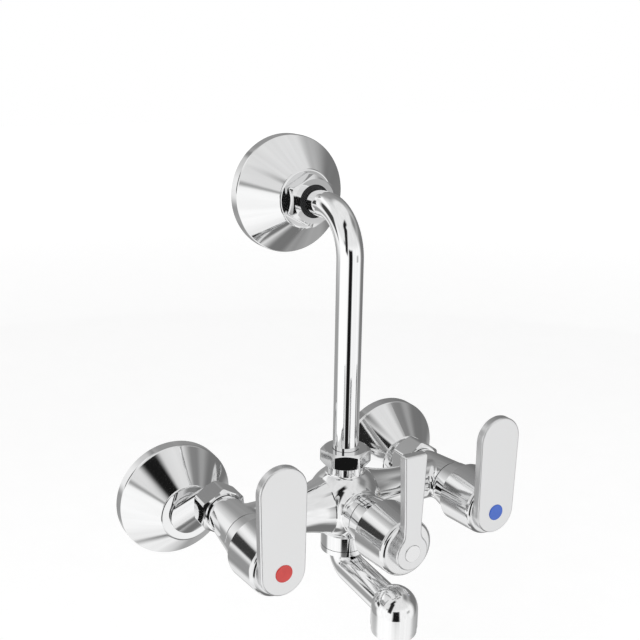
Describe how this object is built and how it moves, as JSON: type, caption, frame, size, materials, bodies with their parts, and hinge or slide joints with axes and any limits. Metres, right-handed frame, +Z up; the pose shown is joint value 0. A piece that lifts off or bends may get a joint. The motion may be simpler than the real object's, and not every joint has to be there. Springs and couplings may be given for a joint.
{
  "type": "wall-mounted mixer tap",
  "caption": "Wall-mounted chrome mixer tap with a lever at each side, a diverter lever on the ball-shaped body, a bend pipe up to an overhead outlet and a swivel spout.",
  "frame": {"origin": "on the finished wall, midway between the two water inlets", "axes": "+Y into the wall, +Z up the wall, +X to the right of a user who faces the wall"},
  "size_m": [0.218, 0.1553, 0.2505],
  "materials": {
    "body_chrome": "polished chrome plate on cast brass",
    "flange_chrome": "polished chrome plate on spun brass sheet",
    "pipe_chrome": "polished chrome plate on brass tube",
    "lever_chrome": "polished chrome plate on cast metal",
    "bonnet_chrome": "polished chrome plate",
    "leg_chrome": "polished chrome plate",
    "nut_chrome": "polished chrome plate",
    "spout_chrome": "polished chrome plate",
    "plain_cap": "polished chrome plate",
    "red_cap": "gloss",
    "blue_cap": "gloss",
    "bare_brass": "machined",
    "pale_ceramic": "lapped",
    "dark_ceramic": "lapped",
    "screw_steel": "turned",
    "insert_plastic": "moulded",
    "fibre_washer": "pressed fibre",
    "black_rubber": "smooth"
  },
  "bodies": {
    "fixed_body": {"bend_pipe": "pipe_chrome", "connecting_leg_left": "leg_chrome", "connecting_leg_right": "leg_chrome", "diverter_bonnet": "bonnet_chrome", "diverter_fixed_disc": "pale_ceramic", "diverter_headwork": "bare_brass", "diverter_seat_seal": "black_rubber", "gland_nut": "nut_chrome", "inlet_nipple_left": "bare_brass", "inlet_nipple_right": "bare_brass", "left_bonnet": "bonnet_chrome", "left_fixed_disc": "pale_ceramic", "left_headwork": "bare_brass", "left_seat_seal": "black_rubber", "leg_washer_left": "fibre_washer", "leg_washer_right": "fibre_washer", "mixer_body": "body_chrome", "pipe_gland": "black_rubber", "pipe_nut": "nut_chrome", "pipe_washer": "fibre_washer", "right_bonnet": "bonnet_chrome", "right_fixed_disc": "pale_ceramic", "right_headwork": "bare_brass", "right_seat_seal": "black_rubber", "spout_screw": "screw_steel", "union_nut_left": "nut_chrome", "union_nut_right": "nut_chrome", "wall_connector": "leg_chrome", "wall_flange_left": "flange_chrome", "wall_flange_right": "flange_chrome", "wall_flange_top": "flange_chrome"},
    "left_lever_body": {"left_lever": "lever_chrome", "left_lever_screw": "screw_steel", "left_index_cap": "red_cap", "left_spindle": "bare_brass", "left_spindle_rings": "black_rubber", "left_spindle_clip": "screw_steel", "left_turning_disc": "dark_ceramic"},
    "right_lever_body": {"right_lever": "lever_chrome", "right_lever_screw": "screw_steel", "right_index_cap": "blue_cap", "right_spindle": "bare_brass", "right_spindle_rings": "black_rubber", "right_spindle_clip": "screw_steel", "right_turning_disc": "dark_ceramic"},
    "diverter_lever_body": {"diverter_lever": "lever_chrome", "diverter_lever_screw": "screw_steel", "diverter_index_cap": "plain_cap", "diverter_spindle": "bare_brass", "diverter_spindle_rings": "black_rubber", "diverter_spindle_clip": "screw_steel", "diverter_turning_disc": "dark_ceramic"},
    "spout_body": {"spout": "spout_chrome", "spout_rings": "black_rubber", "aerator_housing": "spout_chrome", "aerator_insert": "insert_plastic", "aerator_washer": "black_rubber"}
  },
  "joints": [
    {"name": "left_lever_turn", "type": "hinge", "parent": "fixed_body", "child": "left_lever_body", "pos_m": [-0.066, -0.1, 0.012], "axis": [0, -1, 0], "range_deg": [0, 90]},
    {"name": "right_lever_turn", "type": "hinge", "parent": "fixed_body", "child": "right_lever_body", "pos_m": [0.066, -0.1, 0.012], "axis": [0, -1, 0], "range_deg": [-90, 0]},
    {"name": "diverter_turn", "type": "hinge", "parent": "fixed_body", "child": "diverter_lever_body", "pos_m": [0, -0.1, 0.012], "axis": [0, -1, 0], "range_deg": [0, 90]},
    {"name": "spout_swivel", "type": "hinge", "parent": "fixed_body", "child": "spout_body", "pos_m": [0, -0.074, -0.008], "axis": [0, 0, 1], "range_deg": [-60, 60]}
  ]
}
